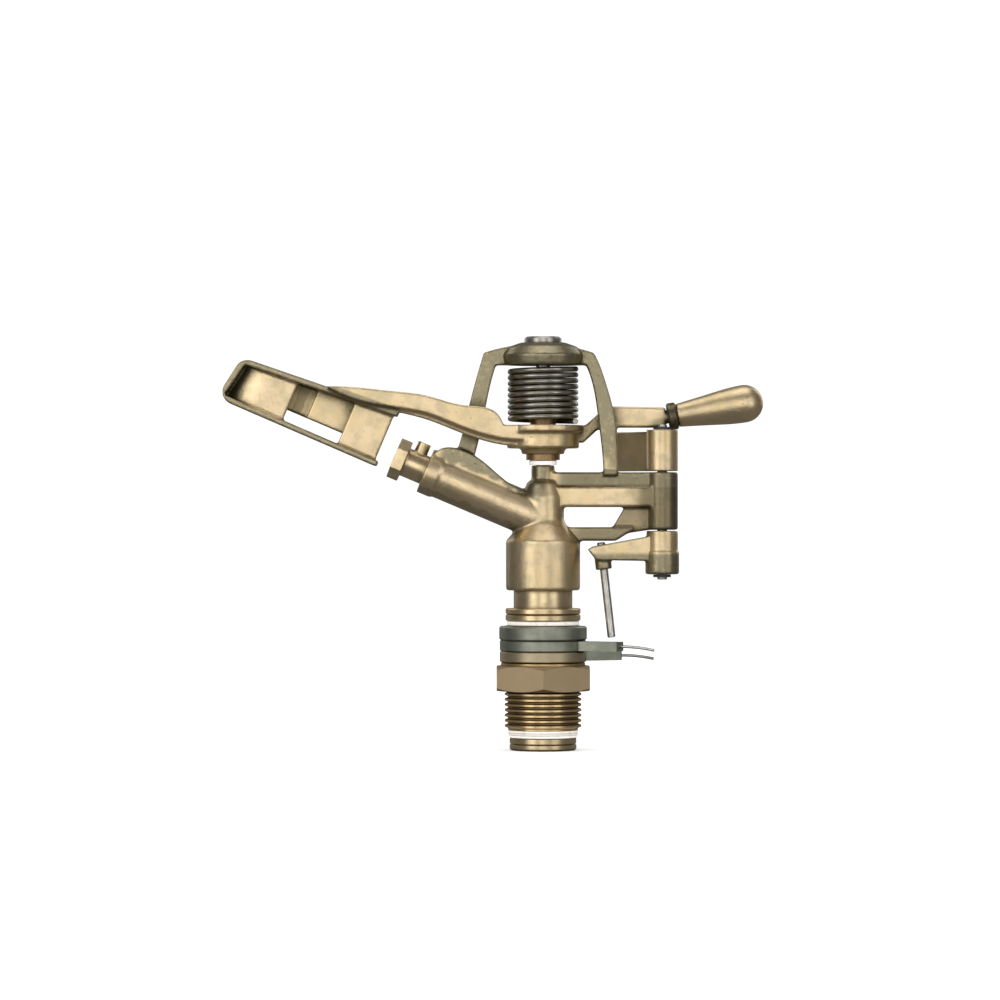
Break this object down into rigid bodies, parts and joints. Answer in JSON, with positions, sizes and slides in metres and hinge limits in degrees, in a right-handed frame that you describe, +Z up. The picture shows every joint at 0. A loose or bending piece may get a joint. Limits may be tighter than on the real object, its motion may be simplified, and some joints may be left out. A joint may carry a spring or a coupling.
{
  "type": "sprinkler",
  "caption": "Brass part-circle impact sprinkler: male-thread hex inlet, turning head with raised nozzle, sprung drive arm with spoon and counterweight, trip lever and stop collars.",
  "frame": {"origin": "on the axis the head turns about, at the bottom mouth of the bearing tube, where the water enters", "axes": "+Z up along the spin axis, -X the way the nozzle throws, +X towards the trip mechanism and counterweight"},
  "size_m": [0.1859, 0.0403, 0.1422],
  "materials": {
    "cast_brass": "sand-cast, tumbled, half-matt",
    "machined_brass": "turned, bright",
    "dark_brass": "darkened",
    "grey_plated_brass": "dull grey-green plating",
    "bronze_bush": "sintered, oiled",
    "stainless_wire": "drawn wire",
    "stainless_pin": "ground",
    "dark_steel_clip": "phosphated spring steel",
    "white_nylon": "moulded, matt",
    "pale_rubber": "moulded, matt"
  },
  "bodies": {
    "base": {"bearing_nipple": "machined_brass", "collar_retainer": "grey_plated_brass", "lower_nylon_washer": "white_nylon", "lower_rubber_washer": "pale_rubber", "upper_nylon_washer": "white_nylon", "top_bearing_washer": "white_nylon"},
    "upper_collar": {"upper_collar_ring": "grey_plated_brass", "upper_collar_stop": "grey_plated_brass", "upper_collar_wire": "stainless_wire"},
    "lower_collar": {"lower_collar_ring": "grey_plated_brass", "lower_collar_stop": "grey_plated_brass", "lower_collar_wire": "stainless_wire"},
    "head": {"bearing_tube": "machined_brass", "sand_sleeve": "machined_brass", "bearing_spring": "stainless_wire", "body_casting": "cast_brass", "nozzle": "machined_brass", "fulcrum_pin": "stainless_pin", "thrust_washer": "white_nylon", "arm_spring": "stainless_wire", "pivot_pin": "stainless_pin", "lower_pivot_clip": "dark_steel_clip", "upper_pivot_clip": "dark_steel_clip"},
    "arm": {"drive_arm": "cast_brass", "arm_bush": "bronze_bush", "weight_collar": "dark_brass", "counterweight": "cast_brass"},
    "shift": {"shift_lever": "cast_brass"},
    "trip": {"trip_lever": "cast_brass", "trip_spring": "stainless_wire"},
    "wire": {"trip_wire": "stainless_wire"}
  },
  "joints": [
    {"name": "head_spin", "type": "hinge", "parent": "base", "child": "head", "pos_m": [0, 0, 0.05], "axis": [0, 0, 1], "continuous": true},
    {"name": "upper_collar_turn", "type": "hinge", "parent": "base", "child": "upper_collar", "pos_m": [0, 0, 0.036], "axis": [0, 0, 1], "continuous": true},
    {"name": "lower_collar_turn", "type": "hinge", "parent": "base", "child": "lower_collar", "pos_m": [0, 0, 0.032], "axis": [0, 0, 1], "continuous": true},
    {"name": "arm_swing", "type": "hinge", "parent": "head", "child": "arm", "pos_m": [0, 0, 0.108], "axis": [0, 0, 1], "range_deg": [0, 90], "stiffness_Nm_per_rad": 0.02, "springref_deg": -22.92},
    {"name": "trip_turn", "type": "hinge", "parent": "head", "child": "trip", "pos_m": [0.041, 0, 0.075], "axis": [0, 0, 1], "range_deg": [-13, 13]},
    {"name": "shift_turn", "type": "hinge", "parent": "head", "child": "shift", "pos_m": [0.041, 0, 0.075], "axis": [0, 0, 1], "range_deg": [-13, 13]},
    {"name": "wire_drop", "type": "slide", "parent": "trip", "child": "wire", "axis": [0.1115, 0, -0.9938], "range_m": [0, 0.006]}
  ],
  "couplings": [
    {"joint": "shift_turn", "follows": "trip_turn", "ratio": -1}
  ]
}
